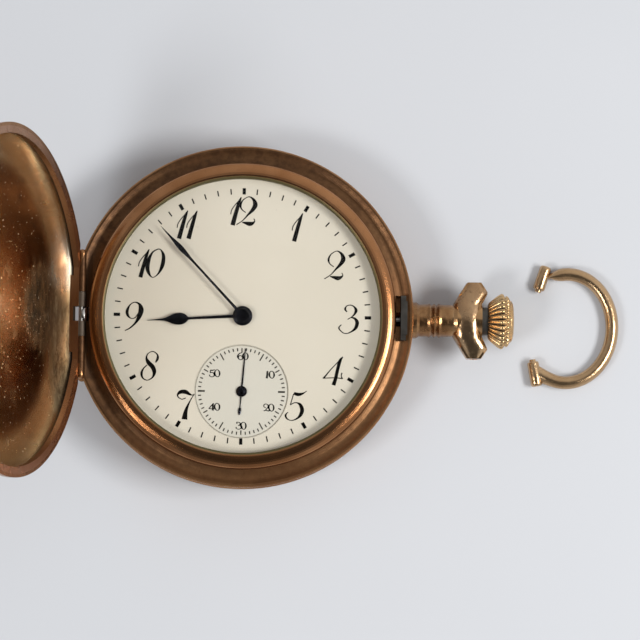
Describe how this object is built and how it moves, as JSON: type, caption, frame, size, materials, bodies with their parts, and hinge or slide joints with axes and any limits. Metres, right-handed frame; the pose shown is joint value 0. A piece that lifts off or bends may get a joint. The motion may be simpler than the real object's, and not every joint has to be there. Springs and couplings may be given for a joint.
{
  "type": "full hunter pocket watch",
  "caption": "Hunter pocket watch lying on its back, lid sprung open, bow off and laid by the crown, with a geared movement inside.",
  "frame": {"origin": "centre of the back cover's flat resting face", "axes": "+Z out of the dial, +Y towards twelve, +X along the pendant towards the crown"},
  "size_m": [0.0982, 0.05, 0.0536],
  "materials": {
    "case_gold": "worn gold-filled brass, brown in the hollows",
    "bezel_gold": "worn gold-filled brass",
    "lid_inside": "tarnished gold-filled brass",
    "crown_gold": "yellow gold-filled brass",
    "crystal": "clear domed glass",
    "steel": "worn bare steel",
    "dark_steel": "dark oxidised steel",
    "blued_steel": "blued steel, near black",
    "enamel": "cream vitreous enamel",
    "brass": "gilt brass",
    "nickel": "nickelled brass with a fine damascened grain",
    "ruby": "red jewel"
  },
  "bodies": {
    "case": {"centre_ring": "case_gold", "bezel": "bezel_gold", "crystal": "crystal", "lid_hinge_pin": "steel", "lift_spring": "steel", "back_hinge_pin": "steel", "pendant": "bezel_gold", "dial": "enamel", "seconds_dial": "enamel", "main_plate": "brass", "barrel_bridge": "nickel", "train_bridge": "nickel", "pallet_cock": "nickel", "balance_cock": "nickel", "bridge_screws": "steel", "case_screws": "steel", "train_jewels": "ruby", "crown_wheel_screw": "steel", "click_spring": "blued_steel"},
    "lid": {"front_lid": "case_gold", "lid_rim": "lid_inside"},
    "catch": {"lock_spring": "dark_steel"},
    "back": {"back_cover": "case_gold"},
    "cuvette": {"dust_cover": "bezel_gold"},
    "push_sleeve": {"push_sleeve": "dark_steel"},
    "stem_collar": {"stem_collar": "steel"},
    "crown": {"crown": "crown_gold", "stem": "steel"},
    "winding_pinion": {"winding_pinion": "steel", "clutch": "steel"},
    "crown_wheel": {"crown_wheel": "steel"},
    "ratchet": {"ratchet_wheel": "steel", "barrel_arbor": "steel"},
    "click": {"click": "steel"},
    "barrel": {"barrel": "brass", "barrel_cover": "brass", "mainspring": "blued_steel"},
    "centre_train": {"centre_wheel": "brass", "centre_arbor": "steel", "cannon_pinion": "steel", "minute_hand": "blued_steel"},
    "minute_work": {"minute_wheel": "brass"},
    "hour_work": {"hour_wheel": "brass", "hour_hand": "blued_steel"},
    "third_train": {"third_wheel": "brass", "third_pinion": "steel"},
    "seconds_train": {"fourth_wheel": "brass", "fourth_pinion": "steel", "seconds_hand": "dark_steel"},
    "escape_train": {"escape_wheel": "brass", "escape_pinion": "steel"},
    "pallet": {"pallet_fork": "steel", "pallet_stones": "ruby"},
    "balance": {"balance_wheel": "crown_gold", "balance_staff": "steel", "roller": "steel", "hairspring": "blued_steel"},
    "regulator": {"regulator": "steel"},
    "bow": {"bow": "crown_gold"}
  },
  "joints": [
    {"name": "lid_hinge", "type": "hinge", "parent": "case", "child": "lid", "pos_m": [-0.02349, 0, 0.0084], "axis": [0, 1, 0], "range_deg": [0, 111]},
    {"name": "back_hinge", "type": "hinge", "parent": "case", "child": "back", "pos_m": [-0.02349, 0, 0.0026], "axis": [0, 1, 0], "range_deg": [0, 95]},
    {"name": "cuvette_hinge", "type": "hinge", "parent": "case", "child": "cuvette", "pos_m": [-0.02349, 0, 0.0026], "axis": [0, 1, 0], "range_deg": [0, 80.75]},
    {"name": "crown_push", "type": "slide", "parent": "case", "child": "push_sleeve", "axis": [-1, 0, 0], "range_m": [0, 0.0006], "stiffness_N_per_m": 400, "springref_m": -0.002},
    {"name": "catch_slide", "type": "slide", "parent": "case", "child": "catch", "axis": [-1, 0, 0], "range_m": [0, 0.0006]},
    {"name": "crown_pull", "type": "slide", "parent": "push_sleeve", "child": "stem_collar", "axis": [1, 0, 0], "range_m": [0, 0.001]},
    {"name": "crown_turn", "type": "hinge", "parent": "stem_collar", "child": "crown", "pos_m": [0.03594, 0, 0.0055], "axis": [1, 0, 0], "continuous": true},
    {"name": "winding_pinion_turn", "type": "hinge", "parent": "case", "child": "winding_pinion", "pos_m": [0.01565, 0, 0.0055], "axis": [1, 0, 0], "continuous": true},
    {"name": "crown_wheel_turn", "type": "hinge", "parent": "case", "child": "crown_wheel", "pos_m": [0.0132, 0, 0.0017], "axis": [0, 0, 1], "continuous": true},
    {"name": "ratchet_turn", "type": "hinge", "parent": "case", "child": "ratchet", "pos_m": [0.00474, 0.00817, 0.0017], "axis": [0, 0, 1], "continuous": true},
    {"name": "click_turn", "type": "hinge", "parent": "case", "child": "click", "pos_m": [-0.00296, 0.01227, 0.0017], "axis": [0, 0, 1], "range_deg": [0, 10], "stiffness_Nm_per_rad": 0.00001, "springref_deg": -11.46},
    {"name": "seconds_turn", "type": "hinge", "parent": "case", "child": "seconds_train", "pos_m": [0, -0.011, 0.0046], "axis": [0, 0, -1], "continuous": true},
    {"name": "third_turn", "type": "hinge", "parent": "case", "child": "third_train", "pos_m": [0.00358, -0.00625, 0.00355], "axis": [0, 0, -1], "continuous": true},
    {"name": "centre_turn", "type": "hinge", "parent": "case", "child": "centre_train", "pos_m": [0, 0, 0.00555], "axis": [0, 0, -1], "continuous": true},
    {"name": "barrel_turn", "type": "hinge", "parent": "case", "child": "barrel", "pos_m": [0.00474, 0.00817, 0.0053], "axis": [0, 0, -1], "continuous": true},
    {"name": "escape_turn", "type": "hinge", "parent": "case", "child": "escape_train", "pos_m": [-0.00496, -0.01281, 0.0052], "axis": [0, 0, -1], "continuous": true},
    {"name": "minute_work_turn", "type": "hinge", "parent": "case", "child": "minute_work", "pos_m": [0.00407, 0.00254, 0.007], "axis": [0, 0, -1], "continuous": true},
    {"name": "hour_work_turn", "type": "hinge", "parent": "case", "child": "hour_work", "pos_m": [0, 0, 0.0075], "axis": [0, 0, -1], "continuous": true},
    {"name": "pallet_turn", "type": "hinge", "parent": "case", "child": "pallet", "pos_m": [-0.00763, -0.00962, 0.0052], "axis": [0, 0, 1], "range_deg": [-5, 5]},
    {"name": "balance_turn", "type": "hinge", "parent": "case", "child": "balance", "pos_m": [-0.01085, -0.00579, 0.003], "axis": [0, 0, 1], "range_deg": [-130, 130], "stiffness_Nm_per_rad": 0.0000015},
    {"name": "regulator_turn", "type": "hinge", "parent": "case", "child": "regulator", "pos_m": [-0.01085, -0.00579, 0.00175], "axis": [0, 0, 1], "range_deg": [-12, 12]},
    {"name": "bow_way", "type": "slide", "parent": "case", "child": "bow", "axis": [-0.9081, 0, 0.4186], "range_m": [0, 0.0078]}
  ],
  "couplings": [
    {"joint": "cuvette_hinge", "follows": "back_hinge", "ratio": 0.85},
    {"joint": "catch_slide", "follows": "crown_push", "ratio": 1},
    {"joint": "winding_pinion_turn", "follows": "crown_turn", "ratio": 1},
    {"joint": "crown_wheel_turn", "follows": "crown_turn", "ratio": 0.6},
    {"joint": "ratchet_turn", "follows": "crown_turn", "ratio": -0.45},
    {"joint": "third_turn", "follows": "seconds_turn", "ratio": -0.13333},
    {"joint": "centre_turn", "follows": "seconds_turn", "ratio": 0.016667},
    {"joint": "barrel_turn", "follows": "seconds_turn", "ratio": -0.0025641},
    {"joint": "escape_turn", "follows": "seconds_turn", "ratio": -10},
    {"joint": "minute_work_turn", "follows": "seconds_turn", "ratio": -0.0055556},
    {"joint": "hour_work_turn", "follows": "seconds_turn", "ratio": 0.0013889}
  ]
}
